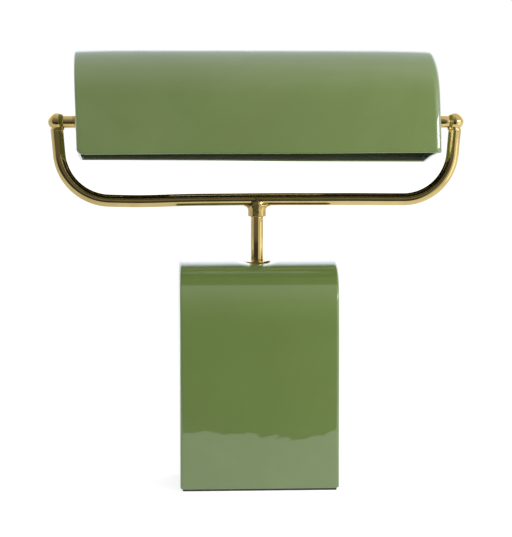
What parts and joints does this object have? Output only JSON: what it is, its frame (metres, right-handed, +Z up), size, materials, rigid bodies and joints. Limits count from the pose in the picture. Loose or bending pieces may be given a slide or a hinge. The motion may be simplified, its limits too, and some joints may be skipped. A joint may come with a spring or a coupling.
{
  "type": "banker desk lamp",
  "caption": "Desk lamp with a long arched shade that tilts in a brass yoke above a tall block base with a rounded crown.",
  "frame": {"origin": "middle of the base's footprint, on the surface the lamp stands on", "axes": "+Z up, X along the shade and the yoke, the front of the lamp faces -Y"},
  "size_m": [0.3932, 0.1119, 0.4133],
  "materials": {
    "base_glaze": "high gloss green glaze over fired clay",
    "shade_glaze": "high gloss green glaze over fired clay",
    "plate_steel": "plain zinc plated",
    "felt": "dark wool felt",
    "ballast_iron": "as cast",
    "rod_brass": "cut thread",
    "washer_steel": "zinc plated",
    "nut_brass": "machined",
    "gland_plastic": "moulded black",
    "terminal_plastic": "moulded cream",
    "screw_steel": "zinc plated",
    "polished_brass": "polished and lacquered",
    "washer_nylon": "plain nylon",
    "spring_steel": "sprung, oiled",
    "cable_cover": "dark round sheath",
    "bushing_brass": "turned and polished",
    "bracket_steel": "zinc plated strip",
    "holder_plastic": "moulded dark",
    "contact_brass": "sprung",
    "cap_metal": "rolled thread",
    "bulb_opal": "opal white"
  },
  "bodies": {
    "stand": {"base_shell": "base_glaze", "base_plate": "plate_steel", "felt_pad": "felt", "ballast_weight": "ballast_iron", "threaded_rod": "rod_brass", "rod_washer": "washer_steel", "rod_nut": "nut_brass", "crown_washer": "washer_steel", "crown_nut": "nut_brass", "cord_gland": "gland_plastic", "gland_nut": "gland_plastic", "terminal_block": "terminal_plastic", "terminal_screws": "screw_steel", "stem_flange": "polished_brass", "stem_tube": "polished_brass", "tee_fitting": "polished_brass", "yoke_tube": "polished_brass", "ball_left": "polished_brass", "ball_right": "polished_brass", "pivot_nipple_left": "rod_brass", "pivot_nipple_right": "rod_brass", "pivot_sleeve_left": "polished_brass", "pivot_sleeve_right": "polished_brass", "friction_washer_left": "washer_nylon", "friction_washer_right": "washer_nylon", "wave_washer_left": "spring_steel", "wave_washer_right": "spring_steel", "pivot_nut_left": "nut_brass", "pivot_nut_right": "nut_brass", "cable_lower": "cable_cover"},
    "shade": {"shade_shell": "shade_glaze", "shade_bushing_left": "bushing_brass", "shade_bushing_right": "bushing_brass", "bushing_nut_left": "nut_brass", "bushing_nut_right": "nut_brass", "holder_bracket": "bracket_steel", "holder_nut": "nut_brass", "lampholder": "holder_plastic", "holder_contact": "contact_brass", "bulb_cap": "cap_metal", "bulb_glass": "bulb_opal", "cable_upper": "cable_cover"}
  },
  "joints": [
    {"name": "shade_tilt", "type": "hinge", "parent": "stand", "child": "shade", "pos_m": [0, 0, 0.3436], "axis": [-1, 0, 0], "range_deg": [-40, 35]}
  ]
}
